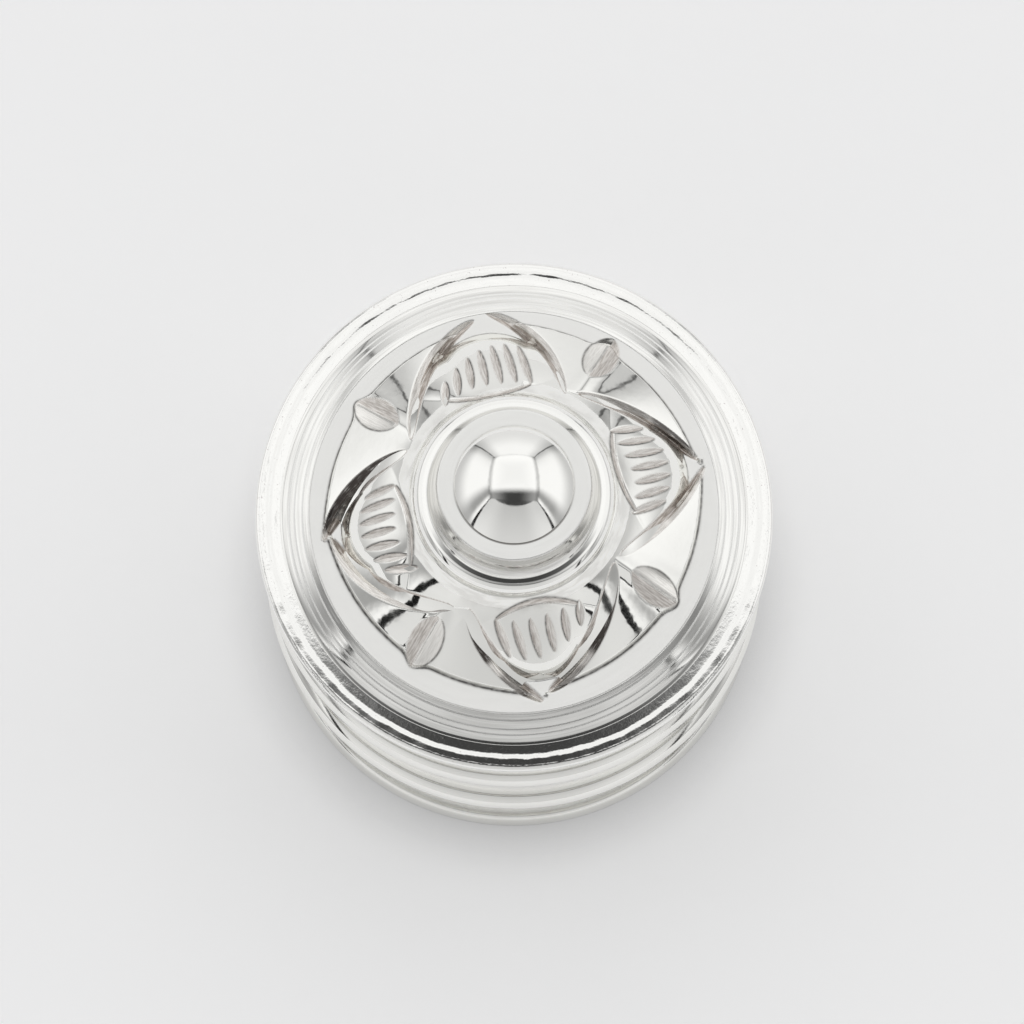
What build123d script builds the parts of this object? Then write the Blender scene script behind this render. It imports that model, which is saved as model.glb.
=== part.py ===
from build123d import *
import os
from math import atan, cos, degrees, hypot, sin

# A small round silver kumkum box with a lift-off lid, in millimetres, standing on z = 0
# with its axis on Z. The chased pattern lies as it does when the box faces -Y.

# The box
rim_radius = 20.0            # outside of the lid's rim ring, the widest part
rim_overhang = 0.9           # how far that ring stands out from the wall
wall_thickness = 0.6
body_height = 30.95          # floor to the mouth, where the lid seats
base_thickness = 0.6         # plate that closes the bottom
base_recess = 0.5            # how far the plate is set up from the floor
foot_height = 1.6            # ring round the bottom edge
foot_depth = 0.6             # how far it stands out from the wall
upper_band_middle = 22.6     # height of the upper band above the floor
upper_band_width = 2.2
upper_band_depth = 0.75
lower_band_middle = 11.4     # height of the lower band above the floor
lower_band_width = 2.4
lower_band_depth = 0.85
mouth_ring_width = 1.7
mouth_ring_setback = 0.05    # how far it is set back under the rim ring

# The lid
sheet = 0.5                  # silver sheet of the lid, its sleeve and the plinth
sleeve_depth = 5.0           # how far the sleeve goes down into the mouth
sleeve_clearance = 0.1       # slip fit of the sleeve in the wall, on the radius
rim_height = 1.18            # inner edge of the rim ring above the mouth
rim_bevel = 0.65             # inner slope of the ring's top
rim_bevel_fall = 0.13
rim_flat = 0.4               # level part in the middle of its top
rim_slope = 0.45             # outer slope of its top
rim_slope_fall = 0.1
rim_round = 0.45             # rounding of its outer edge above the widest part
rim_round_fall = 0.35
rim_under = 0.25             # rounding of its outer edge below the widest part
cove_run = 0.65              # hollow sweep from the ring up to the steps
cove_rise = 0.28
cove_sweep = 0.05            # how far it is hollowed
tread = 0.12                 # level part of each step
low_step_run = 0.29          # slope above the lowest tread
low_step_rise = 0.2
high_step_run = 0.5          # slope above the middle tread
high_step_rise = 0.32
top_step_run = 0.43          # slope above the highest tread, up to the border
top_step_rise = 0.17
border_width = 1.82          # flat border between the steps and the foot of the dome
seat_margin = 0.2            # flat of the dome's top round the plinth's foot
dome_rise = 5.85             # seat above the border
dome_bulge = 0.3             # how far the dome swells out from a straight cone

# The plinth and the knob
plinth_radius = 7.6          # foot of the plinth on the seat
plinth_foot_height = 1.55    # its rounded foot
plinth_foot_swell = 0.3      # how far the foot swells out
plinth_ledge_inset = 0.4     # outer edge of the ledge above the foot, in from the foot
plinth_ledge_run = 0.55      # sloping ledge
plinth_ledge_rise = 0.12
plinth_cove_run = 0.8        # hollow sweep from the ledge up to the top's edge
plinth_cove_sweep = 0.2      # how far it is hollowed
plinth_lip = 0.15            # rounding of the top's edge
plinth_height = 4.65
knob_margin = 1.3            # flat top left round the knob
knob_height = 1.88
peg_radius = 0.9             # rivet through the knob, the plinth and the lid
peg_clearance = 0.05         # rivet in its holes, on the radius
peg_reach = 1.0              # how far it goes up into the knob
peg_head_radius = 1.5
peg_head_height = 0.5
washer_radius = 2.4
washer_thickness = 0.4

# The chased pattern: four petals with a graver stroke down each side, and a scoop between petals
petal_angles = (16.0, 100.4, 189.2, 280.4)   # axes of the petals, in degrees round Z
stroke_angle = 19.0          # from a petal's axis to the middle of its side stroke
stroke_middle = 0.418        # way up the dome to that middle, as a share
stroke_lean = 39.5           # angle between the stroke and the dome's fall line
stroke_share = 0.817         # length of a stroke, as a share of the dome's slope
stroke_width = 1.0
stroke_depth = 0.28
scoop_middle = 0.343         # way up the dome to the scoops, as a share
scoop_width = 2.8
scoop_depth = 0.2

# Places that follow from the dimensions above
wall_radius = rim_radius - rim_overhang
bore_radius = wall_radius - wall_thickness
sleeve_radius = bore_radius - sleeve_clearance
mouth_ring_depth = rim_overhang - mouth_ring_setback
sheet_radius = rim_radius - rim_round - rim_slope - rim_flat - rim_bevel
rim_z = body_height + rim_height
sleeve_top_z = rim_z - sheet
cove_radius = sheet_radius - cove_run
cove_z = rim_z + cove_rise
low_step_radius = cove_radius - tread - low_step_run
low_step_z = cove_z + low_step_rise
high_step_radius = low_step_radius - tread - high_step_run
high_step_z = low_step_z + high_step_rise
border_radius = high_step_radius - tread - top_step_run
border_z = high_step_z + top_step_rise
dome_radius = border_radius - border_width
dome_top_radius = plinth_radius + seat_margin
dome_run = dome_radius - dome_top_radius
seat_z = border_z + dome_rise
disc_z = seat_z + plinth_height
plinth_ledge_radius = plinth_radius - plinth_ledge_inset
plinth_cove_radius = plinth_ledge_radius - plinth_ledge_run
plinth_disc_radius = plinth_cove_radius - plinth_cove_run
knob_radius = plinth_disc_radius - knob_margin
peg_hole = peg_radius + peg_clearance
washer_z = seat_z - sheet - washer_thickness
stroke_length = stroke_share * hypot(dome_rise, dome_run)


def turned(*edges):
    """Solid of revolution round Z of a closed outline of edges in (radius, height)."""
    return revolve(Plane.XZ * make_face(edges), Axis.Z)


def lines(*points):
    """Straight edges through points in (radius, height)."""
    return Polyline(*points).edges()


def swelling_arc(start, end, swell):
    """Arc between two points in (radius, height) that swells to the right of its way by swell."""
    run = end[0] - start[0]
    rise = end[1] - start[1]
    chord = hypot(run, rise)
    middle = ((start[0] + end[0]) / 2 + swell * rise / chord, (start[1] + end[1]) / 2 - swell * run / chord)
    return ThreePointArc(start, middle, end)


def quarter_round(start, end):
    """Quarter of an ellipse between two points in (radius, height), upright at the wider one."""
    narrow, wide = sorted((start, end))
    rise = narrow[1] - wide[1]
    first_angle = 0 if rise > 0 else 270
    return EllipticalCenterArc(
        (narrow[0], wide[1]),
        wide[0] - narrow[0],
        abs(rise),
        start_angle=first_angle,
        arc_size=90,
    )


def fold_setback(rise, run):
    """How far the inner corner of sheet lies behind the outer one where it turns from level to a slope."""
    return sheet * (hypot(rise, run) - run) / rise


def tube(radius, wall, low_z, high_z):
    """Round tube by its outer radius."""
    section = Circle(radius) - Circle(radius - wall)
    return extrude(Pos(0, 0, low_z) * section, high_z - low_z)


def wall_band(middle_z, width, depth):
    """Half-round band soldered round the wall."""
    low = (wall_radius, middle_z - width / 2)
    high = (wall_radius, middle_z + width / 2)
    return turned(swelling_arc(low, high, depth), *lines(high, low))


def make_base_plate():
    """Disc that closes the bottom inside the wall."""
    disc = Cylinder(bore_radius, base_thickness, align=(Align.CENTER, Align.CENTER, Align.MIN))
    return Pos(0, 0, base_recess) * disc


def make_foot_ring():
    """Ring round the bottom edge, flat where it stands and rounded off to the wall above."""
    toe = (wall_radius + foot_depth, 0)
    top = (wall_radius, foot_height)
    return turned(quarter_round(toe, top), *lines(top, (wall_radius, 0), toe))


def make_mouth_ring():
    """Ring round the mouth, flat under the lid and rounded off to the wall below."""
    lip = (wall_radius + mouth_ring_depth, body_height)
    heel = (wall_radius, body_height - mouth_ring_width)
    return turned(quarter_round(lip, heel), *lines(heel, (wall_radius, body_height), lip))


def make_rim_ring():
    """Flat ring round the lid's edge, lapped over the top of the sleeve."""
    bevel = (sheet_radius + rim_bevel, rim_z - rim_bevel_fall)
    slope_top = (bevel[0] + rim_flat, bevel[1])
    round_top = (slope_top[0] + rim_slope, bevel[1] - rim_slope_fall)
    side = (rim_radius, round_top[1] - rim_round_fall)
    under = (rim_radius - rim_under, body_height)
    lap = [(sleeve_radius, sleeve_top_z), (sheet_radius, sleeve_top_z), (sheet_radius, rim_z)]
    return turned(
        *lines(*lap, bevel, slope_top, round_top),
        quarter_round(round_top, side),
        quarter_round(side, under),
        *lines(under, (sleeve_radius, body_height), lap[0]),
    )


def on_dome(tool, lift, share, angle, turn):
    """Tool set on the dome a share of the way up, at an angle round Z, then lifted and turned."""
    radius = dome_radius - dome_run * share
    crown = 4 * dome_bulge * hypot(dome_rise, dome_run) / dome_run
    height = border_z + dome_rise * share + crown * share * (1 - share)
    tilt = degrees(atan((dome_rise + crown * (1 - 2 * share)) / dome_run))
    place = Pos(radius, 0, height) * Rot(0, tilt, 0) * Pos(0, 0, lift) * Rot(0, 0, turn)
    return Rot(0, 0, angle) * place * tool


def press_radius(width, depth):
    """Radius of a round tool that leaves a mark of a width when pressed in by a depth."""
    return (width**2 / 4 + depth**2) / (2 * depth)


def petal_strokes():
    """Strokes down both sides of each petal, left by a rod pressed into the dome."""
    rod_radius = press_radius(stroke_width, stroke_depth)
    rod = Rot(0, 90, 0) * Cylinder(rod_radius, stroke_length)
    lift = rod_radius - stroke_depth
    return [
        on_dome(rod, lift, stroke_middle, angle + side * stroke_angle, -side * stroke_lean)
        for angle in petal_angles
        for side in (-1, 1)
    ]


def leaf_scoops():
    """Scoops halfway between neighbouring petals, left by a ball pressed into the dome."""
    ball_radius = press_radius(scoop_width, scoop_depth)
    following = petal_angles[1:] + (petal_angles[0] + 360,)
    return [
        on_dome(Sphere(ball_radius), ball_radius - scoop_depth, scoop_middle, (angle + after) / 2, 0)
        for angle, after in zip(petal_angles, following)
    ]


def make_lid_shell():
    """Lid of one sheet: cove, three steps, flat border and chased dome."""
    edge = [(sheet_radius, sleeve_top_z), (sheet_radius, rim_z)]
    steps = [
        (cove_radius, cove_z),
        (cove_radius - tread, cove_z),
        (low_step_radius, low_step_z),
        (low_step_radius - tread, low_step_z),
        (high_step_radius, high_step_z),
        (high_step_radius - tread, high_step_z),
        (border_radius, border_z),
    ]
    foot = (dome_radius, border_z)
    top = (dome_top_radius, seat_z)
    hole = [(peg_hole, seat_z), (peg_hole, seat_z - sheet)]
    dome_setback = fold_setback(dome_rise, dome_run)
    inner_top = (dome_top_radius - dome_setback, seat_z - sheet)
    inner_foot = (dome_radius - dome_setback, border_z - sheet)
    step_setback = fold_setback(border_z - rim_z, sheet_radius - border_radius)
    inner_border = (border_radius - step_setback, border_z - sheet)
    on_sleeve = (sleeve_radius - sheet, sleeve_top_z)
    shell = turned(
        *lines(*edge),
        swelling_arc(edge[1], steps[0], -cove_sweep),
        *lines(*steps, foot),
        swelling_arc(foot, top, dome_bulge),
        *lines(top, *hole, inner_top),
        swelling_arc(inner_foot, inner_top, dome_bulge),
        *lines(inner_foot, inner_border, on_sleeve, edge[0]),
    )
    return shell - petal_strokes() - leaf_scoops()


def make_knob_plinth():
    """Spun collar, hollow inside: swelling foot, ledge, cove and flat top."""
    ledge_z = seat_z + plinth_foot_height
    foot = [(plinth_radius, seat_z), (plinth_ledge_radius, ledge_z)]
    cove = [(plinth_cove_radius, ledge_z + plinth_ledge_rise), (plinth_disc_radius, disc_z - plinth_lip)]
    lip = (plinth_disc_radius - plinth_lip, disc_z)
    inside = [
        (peg_hole, disc_z),
        (peg_hole, disc_z - sheet),
        (plinth_disc_radius - sheet, disc_z - sheet),
        (plinth_cove_radius - sheet, ledge_z),
        (plinth_cove_radius - sheet, seat_z),
    ]
    return turned(
        swelling_arc(*foot, plinth_foot_swell),
        *lines(foot[1], cove[0]),
        swelling_arc(*cove, -plinth_cove_sweep),
        quarter_round(cove[1], lip),
        *lines(lip, *inside, foot[0]),
    )


def make_knob():
    """Low polished dome with a blind hole for the rivet."""
    edge = (knob_radius, disc_z)
    slope = 2 * atan(knob_height / knob_radius)
    ball_radius = knob_radius / sin(slope)
    ball_z = disc_z + knob_height - ball_radius
    shoulder = (ball_radius * sin(slope / 2), ball_z + ball_radius * cos(slope / 2))
    apex = (0, disc_z + knob_height)
    hole_z = disc_z + peg_reach
    return turned(
        ThreePointArc(edge, shoulder, apex),
        *lines(apex, (0, hole_z), (peg_hole, hole_z), (peg_hole, disc_z), edge),
    )


def make_knob_peg():
    """Rivet with a rounded head under the washer."""
    tip_z = disc_z + peg_reach
    head_z = washer_z - peg_head_height
    rim = (peg_head_radius, washer_z)
    return turned(
        quarter_round((0, head_z), rim),
        *lines(rim, (peg_radius, washer_z), (peg_radius, tip_z), (0, tip_z), (0, head_z)),
    )


nodes = {
    "body_wall": tube(wall_radius, wall_thickness, 0, body_height),
    "base_plate": make_base_plate(),
    "foot_ring": make_foot_ring(),
    "lower_band": wall_band(lower_band_middle, lower_band_width, lower_band_depth),
    "upper_band": wall_band(upper_band_middle, upper_band_width, upper_band_depth),
    "mouth_ring": make_mouth_ring(),
    "lid_sleeve": tube(sleeve_radius, sheet, body_height - sleeve_depth, sleeve_top_z),
    "lid_shell": make_lid_shell(),
    "rim_ring": make_rim_ring(),
    "knob_plinth": make_knob_plinth(),
    "knob": make_knob(),
    "knob_peg": make_knob_peg(),
    "peg_washer": tube(washer_radius, washer_radius - peg_hole, washer_z, washer_z + washer_thickness),
}

os.makedirs("parts", exist_ok=True)
for name, solid in nodes.items():
    export_step(solid, f"parts/{name}.step")
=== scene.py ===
import bpy
import numpy as np
from math import cos, radians, sin
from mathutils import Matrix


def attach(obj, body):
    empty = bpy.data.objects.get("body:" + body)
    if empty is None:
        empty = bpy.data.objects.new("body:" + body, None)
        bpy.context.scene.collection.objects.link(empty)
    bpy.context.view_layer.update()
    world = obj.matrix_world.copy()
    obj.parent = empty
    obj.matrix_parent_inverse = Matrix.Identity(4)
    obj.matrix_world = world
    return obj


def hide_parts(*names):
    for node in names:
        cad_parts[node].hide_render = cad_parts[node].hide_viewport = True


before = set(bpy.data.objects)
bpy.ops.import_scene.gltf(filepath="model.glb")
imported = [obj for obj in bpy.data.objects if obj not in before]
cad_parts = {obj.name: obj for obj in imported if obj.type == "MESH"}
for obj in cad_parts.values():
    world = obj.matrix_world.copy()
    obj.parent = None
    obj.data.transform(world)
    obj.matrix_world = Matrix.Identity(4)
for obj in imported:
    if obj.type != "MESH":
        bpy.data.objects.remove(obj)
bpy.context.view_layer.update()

# Sizes of the box in millimetres, after the part's source
MM = 0.001
SHEET = 0.5
WALL_R, BORE_R, MOUTH_Z = 19.1, 18.5, 30.95
SLEEVE_R, SLEEVE_DEPTH = 18.4, 5.0
BASE_Z, BASE_TOP = 0.5, 1.1
FOOT_DEPTH, FOOT_HEIGHT = 0.6, 1.6
MOUTH_RING_DEPTH, MOUTH_RING_WIDTH = 0.85, 1.7
BANDS = {"lower_band": (11.4, 2.4, 0.85), "upper_band": (22.6, 2.2, 0.75)}
RIM_R, SEAM_R, RIM_Z = 20.0, 18.05, 32.13
SLEEVE_TOP = RIM_Z - SHEET
RIM_SIDE_Z, RIM_UNDER = 31.55, 0.25
COVE_R, COVE_Z = 17.4, 32.41
BORDER_Z, CHASED_R = 33.1, 15.76
DOME_R, SEAT_R, SEAT_Z = 14.0, 7.8, 38.95
PLINTH_R, PLINTH_SWELL = 7.6, 0.3
LEDGE_R, LEDGE_Z, LEDGE_IN, LEDGE_RISE = 7.2, 40.5, 6.65, 0.1
DISC_R, DISC_Z, DISC_LIP = 5.85, 43.6, 0.15
KNOB_R, KNOB_H = 4.55, 1.88
PEG_HOLE, PEG_REACH = 0.95, 1.0


# Outlines in (radius, height)

def straight(points):
    """Polyline through points, with a guard point close to each end of every run."""
    path = np.array(points, float)
    run = path[1:] - path[:-1]
    length = np.linalg.norm(run, axis=1, keepdims=True)
    guard = np.minimum(0.04, 0.25 * length) / length
    rows = np.stack([path[:-1], path[:-1] + guard * run, path[1:] - guard * run], 1)
    return np.vstack([rows.reshape(-1, 2), path[-1:]])


def arc(start, end, swell, count=24):
    """Circular arc from start to end that swells to the right of its way by swell."""
    start, end = np.array(start, float), np.array(end, float)
    chord = end - start
    half = np.linalg.norm(chord) / 2
    along = chord / (2 * half)
    side = np.array([along[1], -along[0]])
    radius = (half**2 + swell**2) / (2 * abs(swell))
    reach = np.arcsin(min(1.0, half / radius))
    angle = np.linspace(-reach, reach, count)[:, None]
    rise = np.sign(swell) * (abs(swell) - radius + radius * np.cos(angle))
    return (start + end) / 2 + along * radius * np.sin(angle) + side * rise


def quarter(start, end, count=16):
    """Quarter of an ellipse from start to end, upright at its wider end."""
    (r0, z0), (r1, z1) = start, end
    turn = np.linspace(0, np.pi / 2, count)
    if r0 > r1:
        r = r1 + (r0 - r1) * np.cos(turn)
        z = z0 + (z1 - z0) * np.sin(turn)
    else:
        r = r0 + (r1 - r0) * np.sin(turn)
        z = z1 + (z0 - z1) * np.cos(turn)
    return np.stack([r, z], 1)


def eased(points, radius, count=5):
    """Polyline whose inner corners are rounded, as polishing leaves an edge: each corner is a
    quadratic curve (1-t)^2 first + 2t(1-t) corner + t^2 last between points a radius away."""
    path = np.array(points, float)
    back, on = path[:-2] - path[1:-1], path[2:] - path[1:-1]
    back_length = np.linalg.norm(back, axis=1, keepdims=True)
    on_length = np.linalg.norm(on, axis=1, keepdims=True)
    reach = np.minimum(radius, 0.45 * np.minimum(back_length, on_length))
    first = (path[1:-1] + back / back_length * reach)[:, None]
    last = (path[1:-1] + on / on_length * reach)[:, None]
    t = np.linspace(0, 1, count)[None, :, None]
    curves = (1 - t) ** 2 * first + 2 * t * (1 - t) * path[1:-1, None] + t**2 * last
    return np.vstack([path[:1], curves.reshape(-1, 2), path[-1:]])


def joined(*runs):
    """Outlines laid end to end, without the points that repeat."""
    path = np.vstack([np.asarray(run, float) for run in runs])
    keep = np.ones(len(path), bool)
    keep[1:] = np.linalg.norm(np.diff(path, axis=0), axis=1) > 1e-6
    return path[keep]


# Meshes

def make_mesh(name, points, faces, **marks):
    """Smooth mesh piece from points in millimetres; marks are values kept on the points."""
    mesh = bpy.data.meshes.new(name)
    mesh.from_pydata((points * MM).tolist(), [], faces)
    mesh.polygons.foreach_set("use_smooth", np.ones(len(mesh.polygons), bool))
    for mark, values in marks.items():
        values = np.asarray(values, np.float32)
        if values.ndim == 1:
            mesh.attributes.new(mark, "FLOAT", "POINT").data.foreach_set("value", values)
        else:
            mesh.attributes.new(mark, "FLOAT_VECTOR", "POINT").data.foreach_set("vector", values.ravel())
    mesh.update()
    piece = bpy.data.objects.new(name, mesh)
    bpy.context.scene.collection.objects.link(piece)
    return piece


def ring_faces(rows, columns, wrap):
    """Quads of a grid of rows along an outline by columns round the axis."""
    i = np.arange(rows if wrap else rows - 1)[:, None]
    j = np.arange(columns)[None, :]
    i2, j2 = (i + 1) % rows, (j + 1) % columns
    quads = np.stack([i * columns + j, i * columns + j2, i2 * columns + j2, i2 * columns + j], -1)
    return quads.reshape(-1, 4).tolist()


def turned(name, outline, columns=256, **marks):
    """Surface of revolution: every outline point (r, z) goes round as (r cos a, r sin a, z).
    An outline that starts and ends on the axis is closed there by a fan; any other is a closed ring.
    Marks are rules that give a value for every radius and height."""
    path = np.asarray(outline, float)
    capped = path[0, 0] < 1e-6
    if not capped and np.linalg.norm(path[0] - path[-1]) < 1e-6:
        path = path[:-1]
    r, z = path[:, 0], path[:, 1]
    if np.sum(r * np.roll(z, -1) - np.roll(r, -1) * z) < 0:
        path = path[::-1]
    a = np.linspace(0, 2 * np.pi, columns, endpoint=False)
    body = path[1:-1] if capped else path
    r, z = body[:, :1], body[:, 1:]
    points = np.stack([r * np.cos(a), r * np.sin(a), z + 0 * a], -1).reshape(-1, 3)
    faces = ring_faces(len(body), columns, not capped)
    if capped:
        j = np.arange(columns)
        j2 = (j + 1) % columns
        low, high = len(points), len(points) + 1
        last = (len(body) - 1) * columns
        points = np.vstack([points, [0, 0, path[0, 1]], [0, 0, path[-1, 1]]])
        faces += np.stack([j2, j, np.full(columns, low)], 1).tolist()
        faces += np.stack([last + j, last + j2, np.full(columns, high)], 1).tolist()
    out, up = np.hypot(points[:, 0], points[:, 1]), points[:, 2]
    return make_mesh(name, points, faces, **{mark: rule(out, up) for mark, rule in marks.items()})


def swept(name, r, z, columns, **marks):
    """Closed ring from radii and heights on a grid of outline rows by columns round the axis:
    every point is (r cos a, r sin a, z), so the outline may change a little on its way round."""
    a = np.linspace(0, 2 * np.pi, columns, endpoint=False)[None, :]
    r = np.broadcast_to(r, z.shape)
    points = np.stack([r * np.cos(a), r * np.sin(a), z], -1).reshape(-1, 3)
    return make_mesh(name, points, ring_faces(len(z), columns, True), **marks)


# The chased dome

# Petals by the angle of their axis, with the radius at which the arch of their swelling ends. Strokes are
# in the petal's own plan: outward along the axis, then to its left. Each side stroke has its tip, middle
# and inner end, its width, and stains on its outer face as start and end shares of its length with how
# dark they are. The short cuts have how many there are, where the first and last lie at their outer and
# inner ends, and how far out the highest reaches (crown) and where to the left it lies (lean).
PETALS = (
    {
        "axis": 100.4, "arch": 14.2,
        "left": ((15.35, 0.35), (12.1, 4.45), (6.15, 6.9)),
        "right": ((15.8, -0.65), (12.55, -4.15), (7.55, -5.4)),
        "left_width": 1.15, "left_stains": ((0.2, 0.42, 0.3),),
        "right_width": 1.0, "right_stains": ((0.3, 0.7, 0.2),),
        "cuts": 7, "outer": (3.5, -2.5), "inner": (3.85, -2.95), "crown": 12.9, "lean": -0.9,
    },
    {
        "axis": 16.0, "arch": 13.8,
        "left": ((14.75, -0.05), (11.3, 4.0), (7.05, 6.85)),
        "right": ((15.1, -0.65), (11.1, -4.05), (6.6, -6.3)),
        "left_width": 1.1, "left_stains": ((0.06, 0.42, 0.7), (0.45, 0.8, 0.4)),
        "right_width": 1.0, "right_stains": ((0.3, 0.5, 0.25),),
        "cuts": 7, "outer": (3.1, -2.8), "inner": (3.2, -3.4), "crown": 12.45, "lean": 0.1,
    },
    {
        "axis": 280.4, "arch": 13.35,
        "left": ((14.35, 0.1), (11.0, 4.25), (6.1, 6.7)),
        "right": ((15.0, -0.5), (11.35, -3.7), (7.65, -4.9)),
        "left_width": 1.4, "left_stains": ((0.05, 0.28, 0.6), (0.4, 0.93, 0.95)),
        "right_width": 1.3, "right_stains": ((0.1, 0.36, 0.7), (0.5, 0.97, 0.95)),
        "cuts": 6, "outer": (3.35, -2.35), "inner": (3.5, -3.05), "crown": 12.1, "lean": -0.4,
    },
    {
        "axis": 189.2, "arch": 13.4,
        "left": ((14.2, -0.15), (11.25, 4.55), (5.85, 7.4)),
        "right": ((14.85, 0.0), (11.8, -3.4), (7.45, -5.2)),
        "left_width": 1.4, "left_stains": ((0.74, 1.0, 0.6),),
        "right_width": 1.35, "right_stains": ((0.06, 0.96, 0.95),),
        "cuts": 7, "outer": (3.5, -2.25), "inner": (4.0, -2.65), "crown": 12.05, "lean": 0.2,
    },
)

# Leaves between the petals: angle round the axis and distance from it
LEAVES = ((145.3, 12.85), (60.3, 13.6), (329.7, 12.45), (237.0, 12.5))

# Depth of a side stroke as a share of its width; the other cuts' widths and depths in millimetres
SIDE_DEPTH = 0.36
CUT_WIDTH, CUT_DEPTH = 0.62, 0.2
BASE_WIDTH, BASE_DEPTH = 0.42, 0.14
LEAF_LENGTH, LEAF_WIDTH, LEAF_DEPTH = 4.0, 2.6, 0.3

# Ends of the short cuts: bow of the crown, line and bow of the inner ends, and how uneven these are
CROWN_BOW, INNER_LINE, INNER_BOW, UNEVEN = 0.13, 9.2, 0.07, 0.12

# Petals: half span in degrees, base line with its bow, bow of the arch and the degrees over which it bows
PETAL_SPAN, BASE_LINE, BASE_BOW, ARCH_BOW, ARCH_SPAN = 70, 8.2, 0.036, 0.0042, 14
PETAL_FOOT = DOME_R + 0.3

# Swelling of petals and spandrels, and the lengths over which they round off
PETAL_SWELL, SPANDREL_SWELL = 0.4, 0.18
PETAL_ROUND, SPANDREL_ROUND, INNER_ROUND, ARCH_ROUND = 1.2, 1.1, 1.0, 0.45

# Dome: the step at its foot with its run, and the steepening at its neck
DOME_STEP, DOME_STEP_RUN = 0.45, 0.06
DOME_NECK, NECK_POWER = 0.9, 9

# Foot of the spandrels: how far it lies out all round and towards the back, and how far it is drawn out
# before and after a petal's tip and at a leaf's tip, with the degrees over which that fades
FOOT_OUT, FOOT_BACK = 0.03, 0.35
BEFORE_TIP, BEFORE_FADE = 0.9, 13.5
AFTER_TIP, AFTER_FADE = 0.45, 14
AT_LEAF, LEAF_FADE = 0.6, 3.3

# Soft edges of the foot, of the petals and of the seat
FOOT_SOFT, SWELL_SOFT, EDGE_SOFT, SEAT_SOFT = 0.03, 0.1, 0.12, 0.5

# Painted shade in the creases, as dark lines: outside the foot, wider at the front and fading as the metal
# rises; inside the arches, fainter; and along an edge of a cut
CREASE_OUT, CREASE_WIDTH, CREASE_FRONT, CREASE_FADE = 0.04, 0.1, 0.03, 0.25
ARCH_CREASE, ARCH_CREASE_IN, ARCH_CREASE_WIDTH = 0.6, 0.03, 0.06
EDGE_SHADE_WIDTH = 0.08

# Distance between one cut and the next in the grain's pattern, so that no two cuts look alike
GRAIN_APART = 7.3


def dome_height(r, foot):
    """Height over the border: a short step up at the foot, then a rise that steepens near the seat. It is
    step + rise * share + neck * share^power, with the share of the way in from the foot to the seat."""
    share = (foot - r) / (foot - SEAT_R)
    rise = SEAT_Z - BORDER_Z - DOME_STEP - DOME_NECK
    step = DOME_STEP * np.clip((foot - r) / DOME_STEP_RUN, 0, 1)
    return step + rise * share + DOME_NECK * np.clip(share, 0, 1) ** NECK_POWER


def soft_floor(h, width):
    """h where it is well above zero, zero where it is well below, rounded over a width between."""
    return 0.5 * (h + np.sqrt(h * h + width * width))


def settle(distance, length):
    """0 at and below no distance, rising to 1 over about two lengths."""
    return 1 - np.exp(-np.maximum(distance, 0) / length)


def smooth(value, low, high):
    """0 below low, 1 above high, 3t^2 - 2t^3 between."""
    t = np.clip((value - low) / (high - low), 0, 1)
    return t * t * (3 - 2 * t)


def in_plan(petal, point):
    """Plan (x, y) of a point in a petal's own (outward, left)."""
    a = radians(petal["axis"])
    return point[0] * np.array([cos(a), sin(a)]) + point[1] * np.array([-sin(a), cos(a)])


def swing_from(a, angle):
    """Signed degrees from an angle round the axis."""
    return np.degrees(np.angle(np.exp(1j * (a - radians(angle)))))


def hump(distance, width):
    """exp(-(distance / width)^2)"""
    return np.exp(-((distance / width) ** 2))


def along_stroke(x, y, start, middle, end):
    """Place of every plan point against the curve (1-t)^2 start + 2t(1-t) bend + t^2 end, which passes
    through the middle at t = 1/2: the way t along it, and the signed distance to its left."""
    start, middle, end = (np.array(p, float) for p in (start, middle, end))
    bend = 2 * middle - (start + end) / 2
    t = np.linspace(0, 1, 41)[:, None]
    curve = (1 - t) ** 2 * start + 2 * t * (1 - t) * bend + t**2 * end
    way = 2 * (1 - t) * (bend - start) + 2 * t * (end - bend)
    spots = np.stack([x.ravel(), y.ravel()], -1)
    near = np.argmin(((spots[:, None, :] - curve[None]) ** 2).sum(-1), 1)
    gap = spots - curve[near]
    speed = np.linalg.norm(way[near], axis=1)
    tangent = way[near] / speed[:, None]
    share = t[near, 0] + (gap * tangent).sum(-1) / speed
    across = gap[:, 1] * tangent[:, 0] - gap[:, 0] * tangent[:, 1]
    length = np.linalg.norm(np.diff(curve, axis=0), axis=1).sum()
    return share.reshape(x.shape), across.reshape(x.shape), length


def graver_cut(share, across, width, depth, skew, fullness=0.7):
    """Depth of a boat-shaped V cut: its half width follows (4t(1-t))^fullness, and its floor line lies
    a share skew of that half width to the left of the curve, so that one face is broader."""
    lens = np.clip(4 * share * (1 - share), 0, 1) ** fullness
    half = np.maximum(width / 2 * lens, 1e-4)
    left = (half - across) / (half * (1 - skew))
    right = (half + across) / (half * (1 + skew))
    return depth * lens * np.clip(np.minimum(left, right), 0, 1)


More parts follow.
